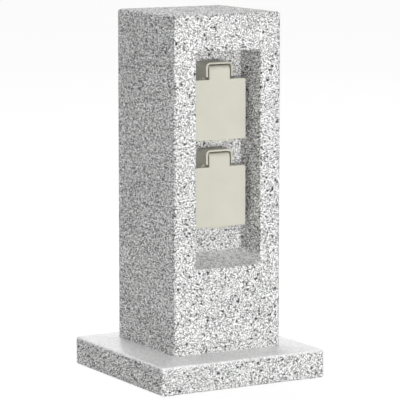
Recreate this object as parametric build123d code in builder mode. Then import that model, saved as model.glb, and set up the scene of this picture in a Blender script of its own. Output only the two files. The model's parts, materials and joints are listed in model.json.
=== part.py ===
from build123d import *
from math import cos, pi, radians, sin, sqrt, tan
import os

os.makedirs("parts", exist_ok=True)

# Garden socket post: a granite-look column on a square base, with two covered socket outlets
# in a deep window. All lengths are in millimetres. The post stands on Z = 0, its window faces
# -Y, and X runs along the front. Heights are measured from the ground.

# Driving sizes of the whole post
total_height = 395.0
base_width = 200.0
base_edge_height = 31.0
base_crown_rise = 2.4
column_width = 130.0
foot_proud = 1.0

# Window in the column's front, and the two sockets in it
window_side_room = 7.0
window_lintel = 39.2
window_depth = 42.0
window_foot_room = 73.6
sill_rise = 11.8
hood_headroom = 13.3
socket_gap = 8.7

# Column casting
column_wall = 9.0
panel_thickness = 7.0
sill_thickness = 9.0
column_corner_radius = 4.5
column_top_round = 3.5
window_corner_radius = 2.5
window_lip_round = 1.8
chamber_corner_radius = 8.0
bolt_boss_inset = 11.5
bolt_boss_radius = 12.5
bolt_boss_cap = 8.0

# Base casting
base_corner_radius = 4.0
base_edge_round = 2.6
base_under_chamfer = 1.2
crown_ledge = 1.5
crown_corner_radius = 2.0
base_ceiling_thickness = 8.0
wire_opening_width = 60.0
wire_opening_radius = 6.0
cavity_corner_radius = 6.0
collar_height = 5.0
collar_wall = 5.0
collar_gap = 0.4
foot_gasket_width = 3.0
foot_gasket_thickness = 1.5
foot_gasket_inset = 2.0

# Bolts that hold the column on the base
bolt_radius = 3.0
bolt_thread_length = 12.0
bolt_head_across = 10.0
bolt_head_height = 4.0
bolt_washer_radius = 6.0
bolt_washer_thickness = 1.6
bolt_hole_gap = 0.3
insert_wall = 1.0
washer_room = 0.5

# Cover plate under the base, with its seal and screws
cover_thickness = 3.0
cover_recess = 0.5
cover_lap = 12.0
cover_gap = 0.3
cover_corner_radius = 4.0
cover_seal_thickness = 1.5
cover_seal_width = 3.5
cover_seal_inset = 0.5
cover_screw_inset = 4.5
cover_screw_radius = 1.6
cover_screw_head_radius = 3.2
cover_screw_length = 12.0
cover_rib_height = 3.0
cover_rib_thickness = 1.6
cover_rib_share = 0.72

# Rubber feet
foot_radius = 10.0
foot_thickness = 3.0
foot_edge_inset = 1.0
foot_margin = 3.0

# Cable gland at the back of the base
gland_height = 14.5
niche_radius = 12.6
niche_depth = 18.0
niche_edge_round = 1.2
gland_thread_radius = 8.0
gland_bush_wall = 1.5
gland_bush_length = 12.0
gland_thread_length = 9.5
gland_across = 20.0
gland_hex_height = 4.5
gland_neck_radius = 7.2
gland_neck_length = 6.5
gland_bore_radius = 5.3
gland_washer_radius = 10.4
gland_washer_thickness = 1.0
cable_radius = 4.5
cable_gap = 0.1
cable_hole_radius = 6.5
seal_radius = 6.2
seal_length = 9.0
nut_length = 11.2
nut_wall = 1.4
nut_dome = 4.6
nut_dome_radius = 7.0
nut_face_radius = 7.6

# General clearances and small sizes
seat_gap = 0.1
thread_gap = 0.1
running_gap = 0.05
overrun = 1.0
screw_edge = 0.4

# Terminal block on the cover plate
block_place_y = 19.0
block_stand_height = 2.0
block_stand_margin = 1.0
block_length = 17.0
block_pitch = 10.0
block_tower_width = 8.6
block_height = 14.0
block_foot_height = 4.0
block_ear = 6.0
sleeve_height = 7.0
sleeve_radius = 3.1
sleeve_bore_radius = 1.7
sleeve_length = 15.0
clamp_spacing = 8.0
clamp_screw_radius = 1.3
clamp_head_radius = 2.0
clamp_head_height = 1.2
clamp_head_rise = 0.6
block_screw_radius = 1.4
block_screw_head_radius = 2.7
block_screw_head_height = 1.8
block_screw_length = 7.0

# Inner wires
wire_radius = 1.4
core_radius = 0.7
core_length = 3.0
wire_end_gap = 0.2
wire_bow = 6.0
lead_rise_shares = (0.24, 0.55, 0.9)
loop_rise_shares = (0.14, 0.5, 0.86)
route_arc_share = 0.45

# Socket frame and well, measured outwards from the recess's back wall
panel_seal_thickness = 1.0
panel_seal_inset = 0.5
lid_overhang = 1.5
frame_wall = 2.0
frame_corner_radius = 3.0
frame_seat = 14.5
shoulder_inset = 1.5
shoulder_rise = 4.0
knuckle_gap = 1.9
hood_wall = 2.0
hood_round = 5.0
hood_gap = 1.4
hood_foot_gap = 2.6
hood_edge_round = 0.5
splash_rim_gap = 1.25
splash_rim_wall = 1.4
splash_rim_rise = 2.6
well_radius = 19.7
well_depth = 17.5
well_wall = 2.0
well_floor = 3.0
well_rim_rise = 1.5
well_flange = 1.2
well_bead = 0.5
well_bead_width = 0.8
pin_hole_spacing = 19.0
pin_hole_radius = 2.8
key_width = 5.0
key_reach = 1.8
key_drop = 2.0
cutout_gap = 1.8
frame_screw_inset = 7.5
frame_screw_radius = 1.75
frame_screw_head_radius = 3.3
frame_screw_head_height = 2.2
frame_screw_length = 19.0
frame_screw_sink = 3.5
frame_screw_gap = 0.25
screw_post_wall = 2.3
panel_insert_wall = 0.9
panel_insert_length = 10.0
panel_boss_wall = 2.7
panel_boss_length = 6.0

# Lid, its seal, pin and spring
lid_width = 65.0
lid_front = 22.4
lid_wall = 2.0
lid_thickness = 2.2
lid_corner_radius = 2.0
lid_edge_round = 0.8
lid_seat_gap = 0.6
tab_width = 20.0
tab_reach = 1.5
tab_thickness = 3.2
neck_rise = 9.1
knuckle_width = 25.0
knuckle_radius = 5.8
knuckle_edge_round = 0.5
hinge_pin_radius = 1.5
pin_blind_depth = 1.3
pin_end_gap = 0.2
spring_pocket_width = 13.0
seal_rib_wall = 1.0
seal_rib_height = 2.5
lid_seal_width = 2.8
lid_seal_height = 3.2
lid_seal_lip = 1.0
lid_seal_gap = 0.2
spring_wire_radius = 0.35
spring_coil_radius = 2.2
spring_pitch = 1.25
spring_turns = 5
spring_leg_angle = 30.0
spring_bend_radius = 0.9
spring_tail_run = 0.8
spring_tail_hold = 2.5
spring_hole_gap = 0.15

# Contacts and their carrier behind the well
carrier_step = 0.2
carrier_thickness = 12.0
carrier_web = 1.0
chamber_width = 8.6
chamber_height = 8.0
sheet = 0.8
contact_width = 7.0
contact_leaf_offset = 2.6
contact_flare = 0.5
contact_flare_depth = 2.0
contact_mouth_gap = 0.5
sheet_bend_radius = 0.7
clamp_offset = 8.0
clamp_width = 6.6
clamp_height = 7.0
clamp_depth = 6.0
clamp_bore_radius = 1.6
contact_screw_radius = 1.5
contact_screw_head_radius = 2.6
contact_screw_head_height = 1.6
contact_screw_head_gap = 0.4
barrier_thickness = 1.1
barrier_height = 16.0
barrier_depth = 6.5
barrier_place = 4.6
earth_width = 6.0
earth_offset = 0.3
earth_slot_gap = 0.3
earth_bulge = 2.1
earth_bulge_height = 6.5
earth_finger_top = 12.0
earth_finger_foot = 0.5
earth_bend_radius = 1.5
carrier_screw_place = 13.0
carrier_boss_radius = 3.0
carrier_boss_length = 6.0
carrier_screw_radius = 1.45
carrier_screw_head_radius = 2.8
carrier_screw_head_height = 1.8
carrier_screw_sink = 3.0
carrier_screw_length = 7.0

# Places that follow from these sizes
base_half = base_width / 2
column_half = column_width / 2
column_foot = base_edge_height + base_crown_rise
crown_width = column_width + 2 * crown_ledge
chamber_half = column_half - column_wall
frame_width = lid_width - 2 * lid_overhang
frame_half = frame_width / 2
lid_half = lid_width / 2
hood_width = knuckle_width + 2 * (knuckle_gap + hood_wall)
hinge_rise = lid_half + neck_rise
hood_top = hinge_rise + knuckle_radius + hood_gap + hood_wall
window_width = lid_width + 2 * window_side_room
window_top = total_height - window_lintel
upper_socket_height = window_top - hood_headroom - hood_top
lower_socket_height = upper_socket_height - lid_half - tab_reach - socket_gap - hood_top
window_sill_height = lower_socket_height - window_foot_room
panel_y = window_depth - column_half
panel_back_y = panel_y + panel_thickness
bolt_place = chamber_half - bolt_boss_inset
cavity_half = bolt_place + bolt_washer_radius + washer_room
cavity_top = base_edge_height - base_ceiling_thickness
cover_half = cavity_half + cover_lap
cover_bottom = foot_proud + cover_recess
cover_top = cover_bottom + cover_thickness
rebate_top = cover_top + cover_seal_thickness
cover_screw_place = cover_half - cover_screw_inset
foot_place = base_half - foot_radius - foot_margin
socket_heights = {"upper": upper_socket_height, "lower": lower_socket_height}
frame_back = panel_seal_thickness
frame_screw_place = frame_half - frame_screw_inset
lid_back = frame_seat + lid_seat_gap
hinge_depth = lid_front - knuckle_radius
splash_rim_width = lid_width - 2 * (lid_wall + splash_rim_gap)
hood_foot = lid_half + hood_foot_gap
shoulder_corner = frame_half - shoulder_inset
shoulder_top = shoulder_corner + shoulder_rise
well_rim = frame_seat + well_rim_rise
well_outer = well_radius + well_wall
cutout_radius = well_outer + cutout_gap
carrier_radius = well_outer - carrier_step
floor_front = well_rim - well_depth
floor_back = floor_front - well_floor
carrier_back = floor_back - carrier_thickness
strip_centre = carrier_back - sheet / 2
clamp_front = carrier_back - sheet
clamp_back = clamp_front - clamp_depth
clamp_bore_depth = clamp_front - clamp_depth / 2
wire_depth = clamp_bore_depth + clamp_bore_radius - core_radius - seat_gap
wire_plane_y = panel_y - wire_depth
pin_place = pin_hole_spacing / 2
clamp_place = pin_place + clamp_offset
earth_place = well_radius + earth_offset


def keep(piece, name):
    """Label a finished piece and write it as its own file."""
    piece.part.label = name
    export_step(piece.part, f"parts/{name}.step")


def corners(place):
    """The four corners of a square pattern round a centre."""
    return [(x, y) for x in (-place, place) for y in (-place, place)]


def socket_face(height):
    """Plane on the recess's back wall at a socket's centre, looking out of the window."""
    return Plane(origin=(0, panel_y, height), x_dir=(1, 0, 0), z_dir=(0, -1, 0))


def socket_side(height):
    """Plane through a socket's middle: its x runs outwards and its y runs up."""
    return Plane(origin=(0, panel_y, height), x_dir=(0, -1, 0), z_dir=(-1, 0, 0))


def socket_plan(height):
    """Plane through a socket's middle: its x runs along the front and its y outwards."""
    return Plane(origin=(0, panel_y, height), x_dir=(1, 0, 0), z_dir=(0, 0, -1))


def screw_group(seat, places, head_radius, head_height, shank_radius, shank_length):
    """Screws whose heads stand on a seat plane, one at each place."""
    with BuildPart() as screws:
        with BuildSketch(seat):
            with Locations(*places):
                Circle(head_radius)
        extrude(amount=head_height)
        tops = screws.faces().group_by(Axis(seat.origin, seat.z_dir))[-1]
        chamfer(tops.edges(), min(screw_edge, head_height / 3))
        with BuildSketch(seat):
            with Locations(*places):
                Circle(shank_radius)
        extrude(amount=-shank_length)
    return screws


# Column: one casting with the window in front and the wiring chamber behind it
recess_back = Plane(origin=(0, panel_y, 0), x_dir=(1, 0, 0), z_dir=(0, -1, 0))
front_face = Plane(origin=(0, -column_half, 0), x_dir=(1, 0, 0), z_dir=(0, -1, 0))
socket_centres = [(0, height) for height in socket_heights.values()]
panel_insert_radius = frame_screw_radius + thread_gap + panel_insert_wall
bolt_insert_radius = bolt_radius + thread_gap + insert_wall

# the space that the window cuts out: its floor slopes so that rain runs out
with BuildPart() as window_space:
    with BuildSketch(Plane.YZ):
        with BuildLine():
            Polyline(
                (-column_half - overrun, window_sill_height),
                (-column_half, window_sill_height),
                (panel_y, window_sill_height + sill_rise),
                (panel_y, window_top),
                (-column_half - overrun, window_top),
                close=True,
            )
        make_face()
    extrude(amount=window_width / 2, both=True)
    long_edges = window_space.edges().filter_by(Axis.X, reverse=True).filter_by(Axis.Z, reverse=True)
    fillet([edge for edge in long_edges if edge.length > window_depth / 2], window_corner_radius)

with BuildPart() as column_shell:
    with BuildSketch(Plane.XY.offset(column_foot)):
        RectangleRounded(column_width, column_width, column_corner_radius)
    extrude(amount=total_height - column_foot)
    fillet(column_shell.faces().sort_by(Axis.Z)[-1].edges(), column_top_round)
    # wiring chamber, open at the foot
    with BuildSketch(Plane.XY.offset(column_foot)):
        with Locations((0, (panel_back_y + chamber_half) / 2)):
            RectangleRounded(2 * chamber_half, chamber_half - panel_back_y, chamber_corner_radius)
    extrude(amount=total_height - column_wall - column_foot, mode=Mode.SUBTRACT)
    # below the window the chamber reaches the front wall
    with BuildSketch(Plane.XY.offset(column_foot)):
        RectangleRounded(2 * chamber_half, 2 * chamber_half, chamber_corner_radius)
    extrude(amount=window_sill_height - sill_thickness - column_foot, mode=Mode.SUBTRACT)
    # bosses for the four bolts
    with BuildSketch(Plane.XY.offset(column_foot)):
        RectangleRounded(2 * chamber_half + column_wall, 2 * chamber_half + column_wall,
                         chamber_corner_radius)
        Rectangle(2 * chamber_half + column_wall, 2 * bolt_place, mode=Mode.SUBTRACT)
        Rectangle(2 * bolt_place, 2 * chamber_half + column_wall, mode=Mode.SUBTRACT)
        with Locations(*corners(bolt_place)):
            Circle(bolt_boss_radius)
    extrude(amount=bolt_thread_length + overrun + bolt_boss_cap)
    with BuildSketch(Plane.XY.offset(column_foot)):
        with Locations(*corners(bolt_place)):
            Circle(bolt_insert_radius + seat_gap)
    extrude(amount=bolt_thread_length + overrun, mode=Mode.SUBTRACT)
    # window, with a rounded lip
    add(window_space.part, mode=Mode.SUBTRACT)
    window_edges = column_shell.faces().filter_by(Axis.Y).sort_by(Axis.Y)[0].inner_wires()[0].edges()
    fillet(window_edges, window_lip_round)
    # socket cut-outs, and bosses behind the panel for the screw inserts
    with BuildSketch(recess_back.offset(-panel_thickness)):
        with Locations(*socket_centres):
            with Locations(*corners(frame_screw_place)):
                Circle(panel_insert_radius + panel_boss_wall)
    extrude(amount=-panel_boss_length)
    with BuildSketch(recess_back):
        with Locations(*socket_centres):
            Circle(cutout_radius)
    extrude(amount=-panel_thickness - overrun, mode=Mode.SUBTRACT)
    with BuildSketch(recess_back):
        with Locations(*socket_centres):
            with Locations(*corners(frame_screw_place)):
                Circle(panel_insert_radius + seat_gap)
    extrude(amount=-panel_insert_length - seat_gap, mode=Mode.SUBTRACT)
keep(column_shell, "column_shell")

# Base: a heavy slab whose top falls away from the column
niche_y = base_half - niche_depth
rear_face = Plane(origin=(0, base_half, 0), x_dir=(-1, 0, 0), z_dir=(0, 1, 0))
bush_radius = gland_thread_radius + thread_gap + gland_bush_wall
collar_half = chamber_half - collar_gap
gasket_outer = column_half - foot_gasket_inset
gasket_inner = gasket_outer - foot_gasket_width

with BuildPart() as base_plate:
    with BuildSketch(Plane.XY.offset(foot_proud)):
        RectangleRounded(base_width, base_width, base_corner_radius)
    extrude(amount=base_edge_height - foot_proud)
    chamfer(base_plate.faces().sort_by(Axis.Z)[0].edges(), base_under_chamfer)
    with BuildSketch(Plane.XY.offset(base_edge_height)):
        RectangleRounded(base_width, base_width, base_corner_radius)
    with BuildSketch(Plane.XY.offset(column_foot)):
        RectangleRounded(crown_width, crown_width, crown_corner_radius)
    loft(ruled=True)
    top_rim = [edge for edge in base_plate.edges()
               if abs(edge.center().Z - base_edge_height) < running_gap
               and max(abs(edge.center().X), abs(edge.center().Y)) > crown_width / 2 + overrun]
    fillet(top_rim, base_edge_round)
    # collar that centres the column, with room for its bosses
    with BuildSketch(Plane.XY.offset(column_foot)):
        Rectangle(2 * collar_half, 2 * collar_half)
        Rectangle(2 * (collar_half - collar_wall), 2 * (collar_half - collar_wall), mode=Mode.SUBTRACT)
        with Locations(*corners(bolt_place)):
            Circle(bolt_boss_radius + collar_gap, mode=Mode.SUBTRACT)
        with Locations(*corners(chamber_half)):
            Rectangle(2 * (chamber_half - bolt_place), 2 * (chamber_half - bolt_place), mode=Mode.SUBTRACT)
    extrude(amount=collar_height)
    # groove for the seal under the column
    with BuildSketch(Plane.XY.offset(column_foot)):
        Rectangle(2 * gasket_outer, 2 * gasket_outer)
        Rectangle(2 * gasket_inner, 2 * gasket_inner, mode=Mode.SUBTRACT)
    extrude(amount=-foot_gasket_thickness, mode=Mode.SUBTRACT)
    # cavity below, the rebate for its cover and the opening up into the column
    with BuildSketch(Plane.XY.offset(foot_proud)):
        RectangleRounded(2 * cavity_half, 2 * cavity_half, cavity_corner_radius)
    extrude(amount=cavity_top - foot_proud, mode=Mode.SUBTRACT)
    with BuildSketch(Plane.XY.offset(foot_proud)):
        RectangleRounded(2 * (cover_half + cover_gap), 2 * (cover_half + cover_gap), cover_corner_radius)
    extrude(amount=rebate_top - foot_proud, mode=Mode.SUBTRACT)
    with BuildSketch(Plane.XY.offset(cavity_top)):
        RectangleRounded(wire_opening_width, wire_opening_width, wire_opening_radius)
    extrude(amount=column_foot - cavity_top + overrun, mode=Mode.SUBTRACT)
    with BuildSketch(Plane.XY.offset(cavity_top)):
        with Locations(*corners(bolt_place)):
            Circle(bolt_radius + bolt_hole_gap)
    extrude(amount=column_foot - cavity_top, mode=Mode.SUBTRACT)
    with BuildSketch(Plane.XY.offset(rebate_top)):
        with Locations(*corners(cover_screw_place)):
            Circle(cover_screw_radius + thread_gap)
    extrude(amount=cover_screw_length, mode=Mode.SUBTRACT)
    # pockets for the feet
    with BuildSketch(Plane.XY.offset(foot_proud)):
        with Locations(*corners(foot_place)):
            Circle(foot_radius + seat_gap)
    extrude(amount=foot_thickness - foot_proud, mode=Mode.SUBTRACT)
    # niche at the back for the gland, and the hole that leads the cable in
    with BuildSketch(rear_face):
        with Locations((0, gland_height)):
            Circle(niche_radius)
        with Locations((0, gland_height / 2)):
            Rectangle(2 * niche_radius, gland_height)
    extrude(amount=-niche_depth, mode=Mode.SUBTRACT)
    with BuildSketch(rear_face.offset(-niche_depth)):
        with Locations((0, gland_height)):
            Circle(bush_radius + seat_gap)
    extrude(amount=-gland_bush_length, mode=Mode.SUBTRACT)
    with BuildSketch(rear_face.offset(-niche_depth)):
        with Locations((0, gland_height)):
            Circle(cable_hole_radius)
    extrude(amount=cavity_half - niche_y - overrun, mode=Mode.SUBTRACT)
keep(base_plate, "base_plate")

with BuildPart() as foot_gasket:
    with BuildSketch(Plane.XY.offset(column_foot - foot_gasket_thickness)):
        Rectangle(2 * gasket_outer, 2 * gasket_outer)
        Rectangle(2 * gasket_inner, 2 * gasket_inner, mode=Mode.SUBTRACT)
    extrude(amount=foot_gasket_thickness)
keep(foot_gasket, "foot_gasket")

with BuildPart() as column_inserts:
    with BuildSketch(Plane.XY.offset(column_foot)):
        with Locations(*corners(bolt_place)):
            Circle(bolt_insert_radius)
            Circle(bolt_radius + thread_gap, mode=Mode.SUBTRACT)
    extrude(amount=bolt_thread_length + overrun)
keep(column_inserts, "column_inserts")

bolt_seat = cavity_top - bolt_washer_thickness
with BuildPart() as column_bolts:
    with BuildSketch(Plane.XY.offset(bolt_seat)):
        with Locations(*corners(bolt_place)):
            RegularPolygon(bolt_head_across / 2, side_count=6, major_radius=False)
    extrude(amount=-bolt_head_height)
    with BuildSketch(Plane.XY.offset(bolt_seat)):
        with Locations(*corners(bolt_place)):
            Circle(bolt_radius)
    extrude(amount=column_foot - bolt_seat + bolt_thread_length)
keep(column_bolts, "column_bolts")

with BuildPart() as column_washers:
    with BuildSketch(Plane.XY.offset(bolt_seat)):
        with Locations(*corners(bolt_place)):
            Circle(bolt_washer_radius)
            Circle(bolt_radius + bolt_hole_gap, mode=Mode.SUBTRACT)
    extrude(amount=bolt_washer_thickness)
keep(column_washers, "column_washers")

# Cover plate with countersunk screws, stiffening ribs and a stand for the terminal block
block_half_width = block_pitch + block_tower_width / 2
stand_width = 2 * (block_half_width + block_ear + block_stand_margin)
stand_top = cover_top + block_stand_height
ear_place = block_half_width + block_ear / 2
with BuildPart() as bottom_cover:
    with BuildSketch(Plane.XY.offset(cover_bottom)):
        RectangleRounded(2 * cover_half, 2 * cover_half, cover_corner_radius)
    extrude(amount=cover_thickness)
    with BuildSketch(Plane.XY.offset(cover_top)):
        rib_span = 2 * cover_rib_share * cavity_half
        Rectangle(rib_span, rib_span)
        Rectangle(rib_span - 2 * cover_rib_thickness, rib_span - 2 * cover_rib_thickness, mode=Mode.SUBTRACT)
    extrude(amount=cover_rib_height)
    with BuildSketch(Plane.XY.offset(cover_top)):
        with Locations((0, block_place_y)):
            RectangleRounded(stand_width, block_length + 2 * block_stand_margin, block_stand_margin)
    extrude(amount=block_stand_height)
    with BuildSketch(Plane.XY.offset(stand_top)):
        with Locations((-ear_place, block_place_y), (ear_place, block_place_y)):
            Circle(block_screw_radius + thread_gap)
    extrude(amount=-block_screw_length + block_foot_height - seat_gap, mode=Mode.SUBTRACT)
    with Locations(Plane.XY.offset(cover_bottom).rotated((180, 0, 0))):
        with Locations(*corners(cover_screw_place)):
            CounterSinkHole(cover_screw_radius + bolt_hole_gap, cover_screw_head_radius + seat_gap,
                            counter_sink_angle=90)
keep(bottom_cover, "bottom_cover")

seal_inner = cavity_half + cover_seal_inset
seal_outer = seal_inner + cover_seal_width
with BuildPart() as cover_seal:
    with BuildSketch(Plane.XY.offset(cover_top)):
        RectangleRounded(2 * seal_outer, 2 * seal_outer, cavity_corner_radius)
        RectangleRounded(2 * seal_inner, 2 * seal_inner, cavity_corner_radius - cover_seal_width,
                         mode=Mode.SUBTRACT)
    extrude(amount=cover_seal_thickness)
keep(cover_seal, "cover_seal")

with BuildPart() as cover_screws:
    with BuildSketch(Plane.XZ):
        with BuildLine():
            Polyline(
                (0, cover_bottom),
                (cover_screw_head_radius, cover_bottom),
                (cover_screw_radius, cover_bottom + cover_screw_head_radius - cover_screw_radius),
                (cover_screw_radius, cover_bottom + cover_screw_length),
                (0, cover_bottom + cover_screw_length),
                close=True,
            )
        make_face()
    revolve(axis=Axis.Z)
one_cover_screw = cover_screws.part
with BuildPart() as cover_screws:
    with Locations(*corners(cover_screw_place)):
        add(one_cover_screw)
keep(cover_screws, "cover_screws")

with BuildPart() as rubber_feet:
    with BuildSketch(Plane.XY):
        with Locations(*corners(foot_place)):
            Circle(foot_radius)
    extrude(amount=foot_thickness)
    chamfer(rubber_feet.faces().group_by(Axis.Z)[0].edges(), foot_proud - seat_gap, foot_edge_inset)
keep(rubber_feet, "rubber_feet")

# Cable gland, from the bush in the casting out to the dome nut
gland_axis = Axis((0, 0, gland_height), (0, 1, 0))
gland_seat = Plane(origin=(0, niche_y, gland_height), x_dir=(-1, 0, 0), z_dir=(0, 1, 0))
with BuildPart() as gland_bush:
    with BuildSketch(gland_seat):
        Circle(bush_radius)
        Circle(gland_thread_radius + thread_gap, mode=Mode.SUBTRACT)
    extrude(amount=-gland_bush_length)
keep(gland_bush, "gland_bush")

with BuildPart() as gland_washer:
    with BuildSketch(gland_seat):
        Circle(gland_washer_radius)
        Circle(gland_thread_radius + thread_gap, mode=Mode.SUBTRACT)
    extrude(amount=gland_washer_thickness)
keep(gland_washer, "gland_washer")

gland_hex_front = gland_washer_thickness + gland_hex_height
gland_neck_front = gland_hex_front + gland_neck_length
with BuildPart() as gland_body:
    with BuildSketch(gland_seat.offset(gland_washer_thickness)):
        RegularPolygon(gland_across / 2, side_count=6, major_radius=False)
    extrude(amount=gland_hex_height)
    with BuildSketch(gland_seat.offset(gland_washer_thickness)):
        Circle(gland_thread_radius)
    extrude(amount=-gland_thread_length - gland_washer_thickness)
    with BuildSketch(gland_seat.offset(gland_hex_front)):
        Circle(gland_neck_radius)
    extrude(amount=gland_neck_length)
    with BuildSketch(gland_seat.offset(gland_neck_front)):
        Circle(gland_bore_radius)
    extrude(amount=-gland_neck_front - gland_thread_length, mode=Mode.SUBTRACT)
    with BuildSketch(gland_seat.offset(gland_neck_front)):
        Circle(seal_radius + seat_gap)
    extrude(amount=-gland_neck_length, mode=Mode.SUBTRACT)
keep(gland_body, "gland_body")

nut_back = gland_hex_front + seat_gap
nut_front = nut_back + nut_length
with BuildPart() as gland_seal:
    with BuildSketch(gland_seat.offset(gland_hex_front)):
        Circle(seal_radius)
        Circle(cable_radius + cable_gap, mode=Mode.SUBTRACT)
    extrude(amount=seal_length)
    chamfer(gland_seal.faces().sort_by(Axis.Y)[-1].outer_wire().edges(), screw_edge)
keep(gland_seal, "gland_seal")

with BuildPart() as gland_nut:
    with BuildSketch(gland_seat.offset(nut_back)):
        RegularPolygon(gland_across / 2, side_count=6, major_radius=False)
    extrude(amount=nut_length)
    # the dome turned over the front of the hexagon
    with BuildSketch(Plane.YZ):
        with BuildLine():
            Polyline(
                (niche_y + nut_front, gland_height),
                (niche_y + nut_back, gland_height),
                (niche_y + nut_back, gland_height + gland_across / 2 + nut_wall),
                (niche_y + nut_front - nut_dome, gland_height + gland_across / 2 + nut_wall),
            )
            Line((niche_y + nut_front, gland_height), (niche_y + nut_front, gland_height + nut_face_radius))
            RadiusArc(
                (niche_y + nut_front, gland_height + nut_face_radius),
                (niche_y + nut_front - nut_dome, gland_height + gland_across / 2 + nut_wall),
                -nut_dome_radius,
            )
        make_face()
    revolve(axis=gland_axis, mode=Mode.INTERSECT)
    with BuildSketch(gland_seat.offset(nut_back)):
        Circle(gland_neck_radius + thread_gap)
    extrude(amount=gland_neck_length, mode=Mode.SUBTRACT)
    with BuildSketch(gland_seat.offset(nut_back)):
        Circle(seal_radius + seat_gap)
    extrude(amount=nut_length, mode=Mode.SUBTRACT)
keep(gland_nut, "gland_nut")

# Terminal block on the cover plate
block_towers = [(x * block_pitch, block_place_y) for x in (-1, 0, 1)]
sleeve_z = stand_top + sleeve_height
block_front_y = block_place_y - block_length / 2
sleeve_plane = Plane(origin=(0, block_place_y, sleeve_z), x_dir=(1, 0, 0), z_dir=(0, -1, 0))
clamp_ys = (block_place_y - clamp_spacing / 2, block_place_y + clamp_spacing / 2)
clamp_places = [(x, y) for x, _ in block_towers for y in clamp_ys]
with BuildPart() as terminal_block:
    with BuildSketch(Plane.XY.offset(stand_top)):
        with Locations((0, block_place_y)):
            RectangleRounded(2 * (block_half_width + block_ear), block_length, block_stand_margin)
    extrude(amount=block_foot_height)
    with BuildSketch(Plane.XY.offset(stand_top)):
        with Locations(*block_towers):
            RectangleRounded(block_tower_width, block_length, block_stand_margin)
    extrude(amount=block_height)
    with BuildSketch(sleeve_plane):
        with Locations(*[(x, 0) for x, _ in block_towers]):
            Circle(sleeve_radius + seat_gap)
    extrude(amount=block_length / 2, both=True, mode=Mode.SUBTRACT)
    with BuildSketch(Plane.XY.offset(sleeve_z)):
        with Locations(*clamp_places):
            Circle(clamp_head_radius + bolt_hole_gap)
    extrude(amount=block_height, mode=Mode.SUBTRACT)
    with BuildSketch(Plane.XY.offset(stand_top)):
        with Locations((-ear_place, block_place_y), (ear_place, block_place_y)):
            Circle(block_screw_radius + bolt_hole_gap)
    extrude(amount=block_foot_height, mode=Mode.SUBTRACT)
keep(terminal_block, "terminal_block")

core_z = sleeve_z - sleeve_bore_radius + core_radius + seat_gap
with BuildPart() as terminal_sleeves:
    with BuildSketch(sleeve_plane):
        with Locations(*[(x, 0) for x, _ in block_towers]):
            Circle(sleeve_radius)
            Circle(sleeve_bore_radius, mode=Mode.SUBTRACT)
    extrude(amount=sleeve_length / 2, both=True)
    with BuildSketch(Plane.XY.offset(sleeve_z)):
        with Locations(*clamp_places):
            Circle(clamp_screw_radius + thread_gap)
    extrude(amount=sleeve_radius + overrun, mode=Mode.SUBTRACT)
keep(terminal_sleeves, "terminal_sleeves")

clamp_seat_z = sleeve_z + sleeve_radius + clamp_head_rise
terminal_screws = screw_group(
    Plane.XY.offset(clamp_seat_z), clamp_places, clamp_head_radius, clamp_head_height,
    clamp_screw_radius, clamp_seat_z - core_z - core_radius - seat_gap)
keep(terminal_screws, "terminal_screws")

block_screws = screw_group(
    Plane.XY.offset(stand_top + block_foot_height),
    [(-ear_place, block_place_y), (ear_place, block_place_y)],
    block_screw_head_radius, block_screw_head_height, block_screw_radius, block_screw_length)
keep(block_screws, "block_screws")


# Inner wires, with their bare ends under the clamp screws
def arc_radii(points):
    """Radius of the arc at each inner point of a route."""
    radii = []
    for before, here, after in zip(points, points[1:], points[2:]):
        run_in = Vector(here) - Vector(before)
        run_out = Vector(after) - Vector(here)
        turn = radians(run_in.get_angle(run_out))
        radii.append(route_arc_share * min(run_in.length, run_out.length) / tan(turn / 2))
    return radii


def make_wire(points):
    """An insulated wire along a route, with its core bare beyond both ends."""
    with BuildPart() as wire:
        with BuildLine() as route:
            FilletPolyline(*points, radius=arc_radii(points))
        with BuildSketch(Plane(origin=route.line @ 0, z_dir=route.line % 0)):
            Circle(wire_radius)
        sweep(path=route.line)
        with BuildSketch(Plane(origin=route.line @ 0, z_dir=-(route.line % 0))):
            Circle(core_radius)
        extrude(amount=core_length)
        with BuildSketch(Plane(origin=route.line @ 1, z_dir=route.line % 1)):
            Circle(core_radius)
        extrude(amount=core_length)
    return wire


wire_start_y = block_place_y - sleeve_length / 2 - wire_end_gap
lower_clamp_foot = socket_heights["lower"] - clamp_height / 2 - wire_end_gap
lower_clamp_head = socket_heights["lower"] + clamp_height / 2 + wire_end_gap
upper_clamp_foot = socket_heights["upper"] - clamp_height / 2 - wire_end_gap
lead_rise = lower_clamp_foot - core_z
loop_rise = upper_clamp_foot - lower_clamp_head

for wire_name, side in (("line", -1), ("earth", 0), ("neutral", 1)):
    block_x = side * block_pitch
    clamp_x = side * clamp_place
    lead_heights = [core_z + share * lead_rise for share in lead_rise_shares]
    lead = make_wire([
        (block_x, wire_start_y, core_z),
        (block_x, wire_plane_y, core_z),
        (block_x, wire_plane_y, lead_heights[0]),
        (clamp_x, wire_plane_y + wire_bow, lead_heights[1]),
        (clamp_x, wire_plane_y, lead_heights[2]),
        (clamp_x, wire_plane_y, lower_clamp_foot),
    ])
    keep(lead, f"{wire_name}_lead")
    loop_heights = [lower_clamp_head + share * loop_rise for share in loop_rise_shares]
    loop = make_wire([
        (clamp_x, wire_plane_y, lower_clamp_head),
        (clamp_x, wire_plane_y, loop_heights[0]),
        (clamp_x, wire_plane_y + wire_bow, loop_heights[1]),
        (clamp_x, wire_plane_y, loop_heights[2]),
        (clamp_x, wire_plane_y, upper_clamp_foot),
    ])
    keep(loop, f"{wire_name}_loop")

with BuildPart() as panel_inserts:
    with BuildSketch(recess_back):
        with Locations(*socket_centres):
            with Locations(*corners(frame_screw_place)):
                Circle(panel_insert_radius)
                Circle(frame_screw_radius + thread_gap, mode=Mode.SUBTRACT)
    extrude(amount=-panel_insert_length)
keep(panel_inserts, "panel_inserts")


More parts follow.
